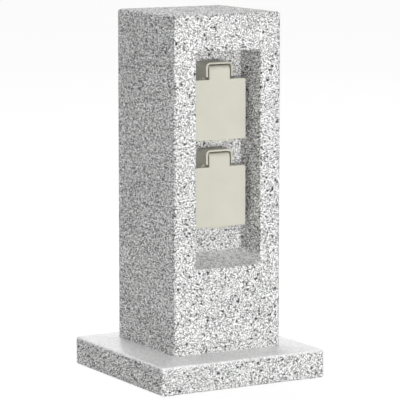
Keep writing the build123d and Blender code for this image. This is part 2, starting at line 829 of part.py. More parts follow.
# Pieces of one socket, each placed by the height of its centre
def box_outline():
    """Outline of the frame's box, with shoulders that rise to the hood."""
    with BuildSketch() as outline:
        with BuildLine():
            Polyline(
                (-frame_half, -frame_half),
                (frame_half, -frame_half),
                (frame_half, shoulder_corner),
                (hood_width / 2, shoulder_top),
                (-hood_width / 2, shoulder_top),
                (-frame_half, shoulder_corner),
                close=True,
            )
        make_face()
        fillet(outline.vertices().group_by(Axis.X)[0], frame_corner_radius)
        fillet(outline.vertices().group_by(Axis.X)[-1], frame_corner_radius)
    return outline.sketch


def hood_outline(foot, wall):
    """The hood's outline from a foot height up, drawn in by a wall."""
    top = hood_top - wall
    with BuildSketch() as outline:
        with Locations((0, (foot + top) / 2)):
            Rectangle(hood_width - 2 * wall, top - foot)
        fillet(outline.vertices().group_by(Axis.Y)[-1], hood_round - wall)
    return outline.sketch


def earth_slots():
    """The two slots that the earth clip's arms pass through."""
    depth = sheet + 2 * earth_slot_gap
    with BuildSketch() as slots:
        with Locations((0, earth_place), (0, -earth_place)):
            Rectangle(earth_width + 2 * earth_slot_gap, depth)
    return slots.sketch


carrier_screw_places = [(-carrier_screw_place, carrier_screw_place), (carrier_screw_place, -carrier_screw_place)]
lip_centre_radius = well_radius + well_wall / 2
seal_inner_radius = lip_centre_radius - lid_seal_width / 2
seal_outer_radius = lip_centre_radius + lid_seal_width / 2


def make_socket_frame(height):
    """Box, splash rim and hinge hood as one moulding."""
    face = socket_face(height)
    side = socket_side(height)
    with BuildPart() as frame:
        with BuildSketch(face.offset(frame_back)):
            add(box_outline())
        extrude(amount=frame_seat - frame_back)
        with BuildSketch(face.offset(frame_back)):
            offset(box_outline(), amount=-frame_wall)
        extrude(amount=frame_seat - frame_wall - frame_back, mode=Mode.SUBTRACT)
        # hood: deep behind the seat, and shorter in front of it, where the lid swings
        with BuildSketch(face.offset(frame_back)):
            add(hood_outline(shoulder_top - frame_wall, 0))
        extrude(amount=frame_seat - frame_back)
        with BuildSketch(face.offset(frame_seat)):
            add(hood_outline(hood_foot, 0))
        extrude(amount=lid_front - frame_seat)
        fillet(frame.faces().filter_by(Axis.Y).sort_by(Axis.Y)[0].edges(), hood_edge_round)
        with BuildSketch(face.offset(frame_back + frame_wall)):
            add(hood_outline(shoulder_top, hood_wall))
        extrude(amount=lid_front, mode=Mode.SUBTRACT)
        # splash rim inside the lid's skirt
        with BuildSketch(face.offset(frame_seat)):
            RectangleRounded(splash_rim_width, splash_rim_width, frame_corner_radius)
            inner_width = splash_rim_width - 2 * splash_rim_wall
            RectangleRounded(inner_width, inner_width, frame_corner_radius - splash_rim_wall,
                             mode=Mode.SUBTRACT)
        extrude(amount=splash_rim_rise)
        # hole for the well
        with BuildSketch(face.offset(frame_seat)):
            Circle(well_outer + seat_gap)
        extrude(amount=-frame_wall, mode=Mode.SUBTRACT)
        # screw posts with sunk seats
        with BuildSketch(face.offset(frame_back)):
            with Locations(*corners(frame_screw_place)):
                Circle(frame_screw_head_radius + screw_post_wall)
        extrude(amount=frame_seat - frame_back)
        with Locations(face.offset(frame_seat)):
            with Locations(*corners(frame_screw_place)):
                CounterBoreHole(frame_screw_radius + frame_screw_gap,
                                frame_screw_head_radius + frame_screw_gap, frame_screw_sink)
        # hinge bore: blind in one cheek, through in the other
        bore_start = hood_width / 2 - hood_wall + pin_blind_depth
        with BuildSketch(side.offset(bore_start)):
            with Locations((hinge_depth, hinge_rise)):
                Circle(hinge_pin_radius + running_gap)
        extrude(amount=-bore_start - hood_width / 2 - overrun, mode=Mode.SUBTRACT)
    return frame


def make_socket_well(height):
    """Round well with its side keys, pin holes and earth slots, snapped into the frame."""
    face = socket_face(height)
    with BuildPart() as well:
        with BuildSketch(face.offset(floor_back)):
            Circle(well_outer)
        extrude(amount=well_rim - floor_back)
        with BuildSketch(face.offset(frame_seat)):
            Circle(well_outer + well_flange)
        extrude(amount=well_rim_rise)
        with BuildSketch(face.offset(frame_seat - frame_wall - seat_gap)):
            Circle(well_outer + well_bead)
        extrude(amount=-well_bead_width)
        with BuildSketch(face.offset(floor_front)):
            Circle(well_radius)
        extrude(amount=well_depth, mode=Mode.SUBTRACT)
        with BuildSketch(face.offset(floor_front)):
            key_centre = well_radius + well_wall / 2 - key_reach / 2
            with Locations((-key_centre, 0), (key_centre, 0)):
                Rectangle(key_reach + well_wall, key_width)
            Circle(well_outer, mode=Mode.INTERSECT)
        extrude(amount=well_depth - key_drop)
        with BuildSketch(face.offset(floor_back)):
            with Locations((-pin_place, 0), (pin_place, 0)):
                Circle(pin_hole_radius)
            add(earth_slots())
        extrude(amount=well_floor, mode=Mode.SUBTRACT)
        with BuildSketch(face.offset(floor_front)):
            add(earth_slots())
        extrude(amount=earth_finger_top + overrun - floor_front, mode=Mode.SUBTRACT)
        # bosses that carry the contact carrier
        with BuildSketch(face.offset(floor_back)):
            with Locations(*carrier_screw_places):
                Circle(carrier_boss_radius)
        extrude(amount=-carrier_boss_length)
        with BuildSketch(face.offset(floor_back - carrier_boss_length)):
            with Locations(*carrier_screw_places):
                Circle(carrier_screw_radius + thread_gap)
        extrude(amount=carrier_boss_length + well_floor / 2, mode=Mode.SUBTRACT)
    return well


def make_panel_seal(height):
    """Flat seal between the frame and the recess's back wall."""
    with BuildPart() as seal:
        with BuildSketch(socket_face(height)):
            offset(box_outline(), amount=-panel_seal_inset)
            add(hood_outline(shoulder_top - frame_wall, panel_seal_inset))
            Circle(cutout_radius + panel_seal_inset, mode=Mode.SUBTRACT)
            with Locations(*corners(frame_screw_place)):
                Circle(frame_screw_radius + frame_screw_gap, mode=Mode.SUBTRACT)
        extrude(amount=panel_seal_thickness)
    return seal


def make_contact_carrier(height):
    """Insulating disc behind the well, with a chamber for each contact."""
    face = socket_face(height)
    with BuildPart() as carrier:
        with BuildSketch(face.offset(carrier_back)):
            Circle(carrier_radius)
        extrude(amount=carrier_thickness)
        with BuildSketch(face.offset(carrier_back)):
            with Locations((-pin_place, 0), (pin_place, 0)):
                Rectangle(chamber_width, chamber_height)
        extrude(amount=carrier_thickness - carrier_web, mode=Mode.SUBTRACT)
        with BuildSketch(face.offset(carrier_back)):
            with Locations((-pin_place, 0), (pin_place, 0)):
                Circle(pin_hole_radius)
            add(earth_slots())
        extrude(amount=carrier_thickness, mode=Mode.SUBTRACT)
        with BuildSketch(face.offset(carrier_back)):
            with Locations((-barrier_place, 0), (barrier_place, 0)):
                Rectangle(barrier_thickness, barrier_height)
        extrude(amount=-barrier_depth)
        with BuildSketch(face.offset(floor_back)):
            with Locations(*carrier_screw_places):
                Circle(carrier_boss_radius + seat_gap)
        extrude(amount=-carrier_boss_length - seat_gap, mode=Mode.SUBTRACT)
        with Locations(face.offset(carrier_back).rotated((180, 0, 0))):
            with Locations(*[(x, -y) for x, y in carrier_screw_places]):
                CounterBoreHole(carrier_screw_radius + bolt_hole_gap,
                                carrier_screw_head_radius + bolt_hole_gap, carrier_screw_sink)
    return carrier


def make_clamp(height, place):
    """Brass block of a wire clamp, with its wire bore and its screw hole."""
    face = socket_face(height)
    with BuildPart() as clamp:
        with BuildSketch(face.offset(clamp_back)):
            with Locations((place, 0)):
                Rectangle(clamp_width, clamp_height)
        extrude(amount=clamp_depth)
        with BuildSketch(Plane.XY.offset(height)):
            with Locations((place, panel_y - clamp_bore_depth)):
                Circle(clamp_bore_radius)
        extrude(amount=clamp_height / 2 + overrun, both=True, mode=Mode.SUBTRACT)
        with BuildSketch(face.offset(clamp_back)):
            with Locations((place, 0)):
                Circle(contact_screw_radius + thread_gap)
        extrude(amount=clamp_depth / 2, mode=Mode.SUBTRACT)
    return clamp.part


def make_pin_contact(height, hand):
    """Sprung brass fork for one plug pin, riveted to its wire clamp."""
    mouth = floor_back - carrier_web - contact_mouth_gap
    leaf = contact_leaf_offset
    with BuildPart() as contact:
        with BuildSketch(socket_plan(height)):
            with BuildLine():
                FilletPolyline(
                    (hand * (pin_place - leaf - contact_flare), mouth),
                    (hand * (pin_place - leaf), mouth - contact_flare_depth),
                    (hand * (pin_place - leaf), strip_centre),
                    (hand * (clamp_place + clamp_width / 2), strip_centre),
                    radius=sheet_bend_radius,
                )
            trace(line_width=sheet)
            with BuildLine():
                FilletPolyline(
                    (hand * (pin_place + leaf + contact_flare), mouth),
                    (hand * (pin_place + leaf), mouth - contact_flare_depth),
                    (hand * (pin_place + leaf), strip_centre),
                    radius=sheet_bend_radius,
                )
            trace(line_width=sheet)
        extrude(amount=contact_width / 2, both=True)
        add(make_clamp(height, hand * clamp_place))
    return contact


def make_earth_clip(height):
    """Sheet bow whose two arms reach into the well, with a clamp in its middle."""
    arm = [
        (earth_finger_top, earth_place),
        (earth_bulge_height, earth_place - earth_bulge),
        (earth_finger_foot, earth_place),
        (strip_centre, earth_place),
    ]
    bends = [earth_bend_radius, earth_bend_radius, sheet_bend_radius]
    with BuildPart() as clip:
        with BuildSketch(socket_side(height)):
            with BuildLine():
                FilletPolyline(*arm, *[(depth, -rise) for depth, rise in reversed(arm)],
                               radius=[*bends, *reversed(bends)])
            trace(line_width=sheet)
        extrude(amount=earth_width / 2, both=True)
        add(make_clamp(height, 0))
    return clip


def make_lid(height):
    """Lid with its skirt, seal ribs, finger tab, and the knuckle that holds the spring."""
    face = socket_face(height)
    side = socket_side(height)
    with BuildPart() as lid:
        with BuildSketch(face.offset(lid_back)):
            RectangleRounded(lid_width, lid_width, lid_corner_radius)
        extrude(amount=lid_front - lid_back)
        fillet(lid.faces().sort_by(Axis.Y)[0].edges(), lid_edge_round)
        # finger tab
        with BuildSketch(face.offset(lid_front - lid_edge_round)) as tab:
            with Locations((0, -lid_half)):
                Rectangle(tab_width, 2 * tab_reach)
            fillet(tab.vertices().group_by(Axis.Y)[0], tab_reach / 2)
        extrude(amount=-tab_thickness)
        # neck and knuckle
        with BuildSketch(side):
            with BuildLine():
                Line((lid_front, hinge_rise), (lid_front, lid_half - lid_wall))
                Line((lid_front, lid_half - lid_wall), (lid_front - lid_thickness, lid_half - lid_wall))
                Line((lid_front - lid_thickness, lid_half - lid_wall), (lid_front - lid_thickness, lid_half))
                Line((lid_front - lid_thickness, lid_half), (hinge_depth, hinge_rise - knuckle_radius))
                Line((hinge_depth, hinge_rise - knuckle_radius), (hinge_depth, hinge_rise))
                Line((hinge_depth, hinge_rise), (lid_front, hinge_rise))
            make_face()
            with Locations((hinge_depth, hinge_rise)):
                Circle(knuckle_radius)
        extrude(amount=knuckle_width / 2, both=True)
        # hollow skirt, and the two ribs that hold the seal
        with BuildSketch(face.offset(lid_back)):
            RectangleRounded(lid_width - 2 * lid_wall, lid_width - 2 * lid_wall, lid_wall / 2)
        extrude(amount=lid_front - lid_thickness - lid_back, mode=Mode.SUBTRACT)
        with BuildSketch(face.offset(lid_front - lid_thickness)):
            Circle(seal_outer_radius + seat_gap + seal_rib_wall)
            Circle(seal_outer_radius + seat_gap, mode=Mode.SUBTRACT)
            Circle(seal_inner_radius - seat_gap)
            Circle(seal_inner_radius - seat_gap - seal_rib_wall, mode=Mode.SUBTRACT)
        extrude(amount=-seal_rib_height)
        # spring pocket: open to the back, with the front skin carried over the top
        pocket_radius = knuckle_radius - lid_thickness
        with BuildSketch(side):
            with BuildLine():
                Polyline(
                    (hinge_depth, hinge_rise + pocket_radius),
                    (hinge_depth, hinge_rise + knuckle_radius + overrun),
                    (hinge_depth - knuckle_radius - overrun, hinge_rise + knuckle_radius + overrun),
                    (hinge_depth - knuckle_radius - overrun, lid_half),
                    (hinge_depth + pocket_radius, lid_half),
                    (hinge_depth + pocket_radius, hinge_rise),
                )
                CenterArc((hinge_depth, hinge_rise), pocket_radius, 0, 90)
            make_face()
        extrude(amount=spring_pocket_width / 2, both=True, mode=Mode.SUBTRACT)
        # pin bore, and the hole for the spring's tail
        with BuildSketch(side):
            with Locations((hinge_depth, hinge_rise)):
                Circle(hinge_pin_radius + running_gap)
        extrude(amount=knuckle_width / 2 + overrun, both=True, mode=Mode.SUBTRACT)
        tail = spring_tail_place()
        with BuildSketch(side):
            with Locations((hinge_depth + tail[0], hinge_rise + tail[1])):
                Circle(spring_wire_radius + spring_hole_gap)
        extrude(amount=-spring_pocket_width / 2 - spring_tail_hold - seat_gap, mode=Mode.SUBTRACT)
    return lid


def make_lid_seal(height):
    """Sealing ring with a narrow lip that meets the well's rim."""
    face = socket_face(height)
    ring_back = lid_front - lid_thickness
    with BuildPart() as seal:
        with BuildSketch(face.offset(ring_back)):
            Circle(seal_outer_radius)
            Circle(seal_inner_radius, mode=Mode.SUBTRACT)
        extrude(amount=-lid_seal_height)
        with BuildSketch(face.offset(well_rim + lid_seal_gap)):
            Circle(lip_centre_radius + lid_seal_lip / 2)
            Circle(lip_centre_radius - lid_seal_lip / 2, mode=Mode.SUBTRACT)
        extrude(amount=ring_back - lid_seal_height - well_rim - lid_seal_gap)
    return seal


def make_hinge_pin(height):
    """Steel pin through the hood's cheeks and the lid's knuckle."""
    start = hood_width / 2 - hood_wall + pin_blind_depth - pin_end_gap
    with BuildPart() as pin:
        with BuildSketch(socket_side(height).offset(start)):
            with Locations((hinge_depth, hinge_rise)):
                Circle(hinge_pin_radius)
        extrude(amount=-start - hood_width / 2 + pin_end_gap)
        chamfer(pin.faces().filter_by(Axis.X).edges(), pin_end_gap)
    return pin


def spring_point(turn):
    """Place on the spring's helix after some turns: along X, outwards and up from the hinge."""
    angle = radians(spring_leg_angle - 90) + 2 * pi * turn
    along = spring_pitch * (turn - spring_turns / 2)
    return along, spring_coil_radius * cos(angle), spring_coil_radius * sin(angle)


def spring_tangent(turn):
    """Direction of the helix at the same place, as a unit vector."""
    angle = radians(spring_leg_angle - 90) + 2 * pi * turn
    climb = spring_pitch / (2 * pi)
    length = sqrt(climb ** 2 + spring_coil_radius ** 2)
    return (climb / length, -spring_coil_radius * sin(angle) / length,
            spring_coil_radius * cos(angle) / length)


def spring_tail_place():
    """Where the spring's tail enters the knuckle, outwards and up from the hinge."""
    _, outwards, up = spring_point(spring_turns)
    _, out_step, up_step = spring_tangent(spring_turns)
    reach = spring_tail_run + spring_bend_radius
    return outwards + reach * out_step, up + reach * up_step


def biarc_joint(start, start_way, end, end_way):
    """Where two tangent arcs from start to end join, and the direction there."""
    chord = end - start
    ways = start_way + end_way
    spread = 2 - 2 * start_way.dot(end_way)
    along = chord.dot(ways)
    handle = (sqrt(along ** 2 + spread * chord.dot(chord)) - along) / spread
    first = start + start_way * handle
    last = end - end_way * handle
    return (first + last) / 2, (last - first).normalized()


def make_lid_spring(height):
    """Torsion spring: a leg on the frame, the coil round the pin, a tail in the knuckle."""
    def place(along, outwards, up):
        return Vector(along, panel_y - hinge_depth - outwards, height + hinge_rise + up)

    def way(along, outwards, up):
        return Vector(along, -outwards, up)

    half_turns = range(2 * spring_turns + 1)
    points = [place(*spring_point(half / 2)) for half in half_turns]
    ways = [way(*spring_tangent(half / 2)) for half in half_turns]
    # the leg reaches down to the box's top wall, the tail turns into the knuckle
    leg_drop = hinge_rise + spring_point(0)[2] - shoulder_top - spring_wire_radius - seat_gap
    leg_length = leg_drop / spring_tangent(0)[2]
    tail_corner = points[-1] + ways[-1] * (spring_tail_run + spring_bend_radius)
    tail_end = Vector(spring_pocket_width / 2 + spring_tail_hold, tail_corner.Y, tail_corner.Z)
    with BuildPart() as spring:
        with BuildLine() as route:
            Line(points[0] - ways[0] * leg_length, points[0])
            for start, start_way, end, end_way in zip(points, ways, points[1:], ways[1:]):
                joint, joint_way = biarc_joint(start, start_way, end, end_way)
                TangentArc(start, joint, tangent=start_way)
                TangentArc(joint, end, tangent=joint_way)
            FilletPolyline(points[-1], tail_corner, tail_end, radius=spring_bend_radius)
        with BuildSketch(Plane(origin=points[0] - ways[0] * leg_length, z_dir=ways[0])):
            Circle(spring_wire_radius)
        sweep(path=route.wires()[0])
    return spring


def coil_gap():
    """Least gap between neighbouring turns of the spring, measured on points of its helix."""
    steps = 72
    samples = [Vector(*spring_point(step / steps)) for step in range(steps * spring_turns + 1)]
    least = min((first - second).length
                for index, first in enumerate(samples)
                for second in samples[index + steps // 2:])
    return least - 2 * spring_wire_radius


print(f"least gap between the turns of a lid spring: {coil_gap():.2f} mm")

for name, height in socket_heights.items():
    face = socket_face(height)
    keep(make_socket_frame(height), f"{name}_socket_frame")
    keep(make_socket_well(height), f"{name}_socket_well")
    keep(make_panel_seal(height), f"{name}_panel_seal")
    frame_screws = screw_group(
        face.offset(frame_seat - frame_screw_sink), corners(frame_screw_place),
        frame_screw_head_radius, frame_screw_head_height, frame_screw_radius, frame_screw_length)
    keep(frame_screws, f"{name}_frame_screws")
    keep(make_contact_carrier(height), f"{name}_contact_carrier")
    carrier_screws = screw_group(
        face.offset(carrier_back + carrier_screw_sink).rotated((180, 0, 0)),
        [(x, -y) for x, y in carrier_screw_places],
        carrier_screw_head_radius, carrier_screw_head_height,
        carrier_screw_radius, carrier_screw_length)
    keep(carrier_screws, f"{name}_carrier_screws")
    keep(make_pin_contact(height, -1), f"{name}_line_contact")
    keep(make_pin_contact(height, 1), f"{name}_neutral_contact")
    keep(make_earth_clip(height), f"{name}_earth_clip")
    contact_screws = screw_group(
        face.offset(clamp_back - contact_screw_head_gap).rotated((180, 0, 0)),
        [(-clamp_place, 0), (0, 0), (clamp_place, 0)],
        contact_screw_head_radius, contact_screw_head_height, contact_screw_radius,
        wire_depth - core_radius - seat_gap - clamp_back + contact_screw_head_gap)
    keep(contact_screws, f"{name}_contact_screws")
    keep(make_lid(height), f"{name}_lid")
    keep(make_lid_seal(height), f"{name}_lid_seal")
    keep(make_hinge_pin(height), f"{name}_hinge_pin")
    keep(make_lid_spring(height), f"{name}_lid_spring")
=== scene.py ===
# %% [markdown]
# # Garden socket post
# A square post of cast stone stands on a wide base. A deep window in its front holds two socket
# outlets with beige hinged lids. This lesson takes the solid model of every piece, gives each one
# the finish that the real piece has, and rebuilds the small pieces that a simple solid only hints
# at: screws and bolts with drives and threads. The lid springs are replaced by welded copies of
# the same wire.

# %% Load the solid model
import json
import math

import bmesh
import bpy
from mathutils import Matrix, Vector


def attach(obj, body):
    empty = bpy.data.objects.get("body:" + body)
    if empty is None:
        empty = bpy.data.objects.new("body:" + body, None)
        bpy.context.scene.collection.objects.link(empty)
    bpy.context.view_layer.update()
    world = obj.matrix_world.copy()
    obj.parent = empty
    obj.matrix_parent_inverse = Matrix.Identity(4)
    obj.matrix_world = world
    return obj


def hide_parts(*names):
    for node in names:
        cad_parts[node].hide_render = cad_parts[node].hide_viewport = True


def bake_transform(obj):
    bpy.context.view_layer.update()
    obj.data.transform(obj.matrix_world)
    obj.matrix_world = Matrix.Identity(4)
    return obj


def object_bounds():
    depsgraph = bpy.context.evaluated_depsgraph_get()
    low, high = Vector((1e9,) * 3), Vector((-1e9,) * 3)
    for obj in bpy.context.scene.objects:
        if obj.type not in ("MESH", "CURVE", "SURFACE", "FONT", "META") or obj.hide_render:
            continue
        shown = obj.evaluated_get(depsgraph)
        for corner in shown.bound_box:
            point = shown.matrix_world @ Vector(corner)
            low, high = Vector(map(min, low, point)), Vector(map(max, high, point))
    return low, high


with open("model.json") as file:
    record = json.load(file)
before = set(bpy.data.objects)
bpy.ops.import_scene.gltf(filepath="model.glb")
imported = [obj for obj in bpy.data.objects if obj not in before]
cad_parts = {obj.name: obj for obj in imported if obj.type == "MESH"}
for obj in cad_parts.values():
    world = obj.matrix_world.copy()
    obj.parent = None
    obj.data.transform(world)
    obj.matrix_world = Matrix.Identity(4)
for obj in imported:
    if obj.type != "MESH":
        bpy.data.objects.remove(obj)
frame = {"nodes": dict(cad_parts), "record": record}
nodes = frame["nodes"]
cad_box = [list(corner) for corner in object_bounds()]
print("pieces in the solid model:", len(nodes))
print("box of the solid model:", [[round(value, 4) for value in corner] for corner in cad_box])

# %% [markdown]
# ## The camera
# Every view of the post depends on where the camera stands, so it comes first. A long lens far
# away keeps the post's upright edges nearly parallel. The camera looks from the front left, a
# little from above. It could be aimed with a constraint, but a plain turn is easier to read.

# %% Camera
CAMERA_TURN = math.radians(-29.79)
CAMERA_TILT = math.radians(8.14)
CAMERA_DISTANCE = 2.745
CAMERA_SIDESTEP = 0.00169
CAMERA_AIM_HEIGHT = 0.18897
SENSOR_WIDTH = 36.0
LENS_PER_SENSOR = 6.3225
NEAREST_SHARE = 0.01
FARTHEST_SHARE = 20.0


def direction(turn, tilt):
    """The way out from the post. A turn of 0 is its front, and a positive one goes to its right."""
    return Vector((
        math.sin(turn) * math.cos(tilt),
        -math.cos(turn) * math.cos(tilt),
        math.sin(tilt),
    ))


def look_back(thing, way_out):
    """Turn a camera or a lamp so that it looks back along its way out."""
    thing.rotation_euler = (-way_out).to_track_quat("-Z", "Y").to_euler()


camera = bpy.data.objects.new("camera", bpy.data.cameras.new("camera"))
camera.data.sensor_width = SENSOR_WIDTH
camera.data.lens = SENSOR_WIDTH * LENS_PER_SENSOR
to_camera = direction(CAMERA_TURN, CAMERA_TILT)
sideways = Vector((math.cos(CAMERA_TURN), math.sin(CAMERA_TURN), 0))
aim = sideways * CAMERA_SIDESTEP + Vector((0, 0, CAMERA_AIM_HEIGHT))
camera.location = aim + to_camera * CAMERA_DISTANCE
look_back(camera, to_camera)
camera.data.clip_start = CAMERA_DISTANCE * NEAREST_SHARE
camera.data.clip_end = CAMERA_DISTANCE * FARTHEST_SHARE
bpy.context.scene.collection.objects.link(camera)
bpy.context.scene.camera = camera
print("camera stands at", [round(value, 3) for value in camera.location])

# %% [markdown]
# ## Shader maths as plain expressions
# A finish is a small calculation: noise, thresholds, mixes. Wiring each step by hand hides the
# idea, so one small class wraps a node's output and lets Python's own operators add the Math
# nodes. Colours go through a colour mix, because a Math node would turn them grey.

# %% Names of inputs, colours and ramps
def input_key(name):
    """i3 is the fourth input. Any other name is the input's own, with _ for a space."""
    if name[0] == "i" and name[1:].isdigit():
        return int(name[1:])
    return name.replace("_", " ")


def shape_ramp(ramp, stops):
    """Set a colour ramp's stops from pairs of place and grey level."""
    while len(ramp.elements) < len(stops):
        ramp.elements.new(1.0)
    for element, (place, level) in zip(ramp.elements, stops):
        element.position = place
        element.color = (level, level, level, 1.0)


# %% A wrapper for shader sockets
class Wire:
    """An output socket of a material's node tree that can be used in a sum."""

    def __init__(self, tree, socket):
        self.tree = tree
        self.socket = socket

    def node(self, kind, settings=None, output=0, **inputs):
        """Add a node of a kind, apply its settings, feed its inputs, and wrap one output."""
        made = self.tree.nodes.new(kind)
        for name, value in (settings or {}).items():
            if name == "stops":
                shape_ramp(made.color_ramp, value)
            else:
                setattr(made, name, value)
        for name, value in inputs.items():
            socket = made.inputs[input_key(name)]
            if isinstance(value, Wire):
                self.tree.links.new(value.socket, socket)
            else:
                socket.default_value = value
        return Wire(self.tree, made.outputs[output])

    def math(self, operation, first, second=0.0):
        return self.node("ShaderNodeMath", {"operation": operation}, i0=first, i1=second)

    def __add__(self, other):
        return self.math("ADD", self, other)

    def __radd__(self, other):
        return self.math("ADD", other, self)

    def __sub__(self, other):
        return self.math("SUBTRACT", self, other)

    def __rsub__(self, other):
        return self.math("SUBTRACT", other, self)

    def __mul__(self, other):
        return self.math("MULTIPLY", self, other)

    def __rmul__(self, other):
        return self.math("MULTIPLY", other, self)

    def above(self, limit):
        return self.math("GREATER_THAN", self, limit)

    def below(self, limit):
        return self.math("LESS_THAN", self, limit)

    def span(self, low, high, new_low=0.0, new_high=1.0):
        """Map a range of values onto another one, clamped at both ends."""
        return self.node("ShaderNodeMapRange", None, Value=self, From_Min=low, From_Max=high,
                         To_Min=new_low, To_Max=new_high)

    def mix(self, low_colour, high_colour):
        """A colour between two colours, by this value. The node's colour sockets are 6 and 7."""
        return self.node("ShaderNodeMix", {"data_type": "RGBA"}, output=2,
                         i0=self, i6=colour(low_colour), i7=colour(high_colour))


def colour(value):
    """A colour socket takes four numbers, so three get an opaque fourth."""
    return value if isinstance(value, Wire) or len(value) == 4 else (*value, 1.0)


# %% [markdown]
# ## One start for every finish
# Each material begins the same way: a Principled surface, and the object's own coordinates in
# metres. Those coordinates stay with the piece when its lid opens, so the pattern doesn't slide.
# A picture laid over the piece would need unwrapping and would show seams at the corners.

# %% Start a finish
def place_in(tree):
    """The object's own coordinates, in metres."""
    return Wire(tree, tree.nodes.new("ShaderNodeTexCoord").outputs["Object"])


def new_finish(name, base_colour, roughness, **fixed):
    """A material with a plain Principled surface: returns it, its shader and its coordinates."""
    finish = bpy.data.materials.new(name)
    finish.use_nodes = True
    tree = finish.node_tree
    shader = tree.nodes["Principled BSDF"]
    shader.inputs["Base Color"].default_value = colour(base_colour)
    shader.inputs["Roughness"].default_value = roughness
    for socket, value in fixed.items():
        shader.inputs[socket.replace("_", " ")].default_value = value
    return finish, shader, place_in(tree)


def feed(shader, name, wire):
    """Link a value to one of the shader's inputs."""
    wire.tree.links.new(wire.socket, shader.inputs[name])


def add_bump(shader, height, distance, strength):
    """Let a height field tilt the surface's normal."""
    feed(shader, "Normal", height.node("ShaderNodeBump", None, Strength=strength,
                                       Distance=distance, Height=height))


# %% Patterns that the finishes share
NOISE_LOW = 0.3
NOISE_HIGH = 0.7
CELL_DISTANCE = 0
CELL_COLOUR = 1


def cells(place, per_metre, output):
    """A packing of cells: each one's random colour, or the distance from its middle."""
    return place.node("ShaderNodeTexVoronoi", None, output=output, Vector=place, Scale=per_metre)


def cloud(place, per_metre, detail=2.0):
    """Soft noise, which stays mostly between NOISE_LOW and NOISE_HIGH."""
    return place.node("ShaderNodeTexNoise", None, Vector=place, Scale=per_metre, Detail=detail)


def drift(place, per_metre, low=0.0, high=1.0, detail=2.0):
    """Soft noise that runs from one value to another."""
    return cloud(place, per_metre, detail).span(NOISE_LOW, NOISE_HIGH, low, high)


def one_channel(wire):
    """The red channel of a colour, as a value."""
    return wire.node("ShaderNodeSeparateColor", None, Color=wire)


def tinted(base_colour, share):
    """A colour made darker or paler by a share."""
    return tuple(min(1.0, channel * share) for channel in base_colour)


# %% [markdown]
# ## Cast granite
# The post is cast from crushed stone in a pale binder: white, grey and a few nearly black grains
# of about one millimetre, packed tightly. A picture of stone would stretch round the corners, so
# two cell patterns of different size give every grain its own grey in space instead. A ramp turns
# the even spread of random numbers into the stone's real mix of pale and dark grains. On the post's
# sides the flakes look longer from front to back, so the pattern is stretched that way. A third,
# coarser pattern picks out one place in thirty as a nearly black speck.

# %% The grains' sizes and greys
GRAIN = 1400.0
FINE_GRAIN = 2000.0
COARSE_MIX = [(0.0, 0.0), (0.28, 0.0), (0.34, 0.3), (0.5, 0.5), (0.57, 0.85), (0.63, 1.0), (1.0, 1.0)]
FINE_MIX = [(0.0, 0.0), (0.18, 0.08), (0.34, 0.5), (0.6, 0.9), (0.8, 1.0)]
COARSE_SHARE = 0.9
GRAIN_STRETCH = (1.0, 0.5, 1.0)
SPECK = 500.0
SPECK_LIMIT = 0.03
SPECK_GREY = 0.03
PALEST_STONE = (0.93, 0.93, 0.925)
DARKEST_STONE = (0.012, 0.012, 0.013)
MIDDLE_STONE = (0.6, 0.6, 0.6)
STONE_PATCHES = 24.0
STONE_PATCH_LOW = 0.96
STONE_PATCH_HIGH = 1.04
STONE_GLOSS_SPREAD = 0.06
FINE_RELIEF_SHARE = 0.6
RELIEF_STRENGTH = 0.35
STONE_SHINE = 0.12


# %% Granite
def greys(wire, stops):
    """Turn a random number into a grain's grey level."""
    return one_channel(wire.node("ShaderNodeValToRGB", {"stops": stops}, Fac=wire))


def granite(name, roughness, grain_relief):
    """Speckled stone with its own gloss and relief."""
    finish, shader, place = new_finish(name, MIDDLE_STONE, roughness, Specular_IOR_Level=STONE_SHINE)
    bedded = place.node("ShaderNodeVectorMath", {"operation": "MULTIPLY"}, i0=place, i1=GRAIN_STRETCH)
    coarse = one_channel(cells(bedded, GRAIN, CELL_COLOUR))
    fine = one_channel(cells(bedded, FINE_GRAIN, CELL_COLOUR))
    shade = greys(coarse, COARSE_MIX) * COARSE_SHARE + greys(fine, FINE_MIX) * (1.0 - COARSE_SHARE)
    patches = drift(place, STONE_PATCHES, STONE_PATCH_LOW, STONE_PATCH_HIGH)
    plain = one_channel(cells(place, SPECK, CELL_COLOUR)).above(SPECK_LIMIT)
    specked = shade * patches * (plain * (1.0 - SPECK_GREY) + SPECK_GREY)
    feed(shader, "Base Color", specked.mix(DARKEST_STONE, PALEST_STONE))
    feed(shader, "Roughness", fine.span(0.0, 1.0, roughness - STONE_GLOSS_SPREAD,
                                        roughness + STONE_GLOSS_SPREAD))
    hollows = cells(bedded, GRAIN, CELL_DISTANCE)
    relief = fine * FINE_RELIEF_SHARE + hollows * (1.0 - FINE_RELIEF_SHARE)
    add_bump(shader, relief, grain_relief, RELIEF_STRENGTH)
    return finish


column_granite = granite("column granite", 0.62, 0.00012)
base_granite = granite("base granite", 0.58, 0.0001)
print("grains are", round(1000 / GRAIN, 2), "mm across, specks up to", round(1000 / SPECK, 1), "mm")

# %% [markdown]
# ## Polished ledges with a painted sheen
# The base's top and the window's sill have been ground, so that rain runs off. At this low view
# the base's top mirrors the pale room and the stone behind it. Their stone is also painted paler:
# a painted sheen that stands in for more reflected light than the clear coat gives. The sill is
# ground less and painted less pale, so its grain still shows. The upright sides stay as rough as
# they came from the mould. Painting the ledges by hand would need a map, but place alone tells
# them apart: the base's by height, the sill's by a box.

# %% Where and how the ledges are polished and painted paler
POLISH_START = 0.028
POLISH_FULL = 0.0305
SILL_LOW = (-0.0396, -0.0645, 0.12)
SILL_HIGH = (0.0396, -0.0235, 0.1375)
POLISHED_ROUGHNESS = 0.4
# The pale colour and the two shares below make the polished stone paler: a painted sheen, standing in for
# reflected light.
PAINTED_SHEEN_COLOUR = (0.9, 0.9, 0.9)
BASE_PAINTED_SHEEN = 0.7
SILL_PAINTED_SHEEN = 0.35
SILL_COAT = 0.5
COAT_ROUGHNESS = 0.22
COAT_IOR = 1.7


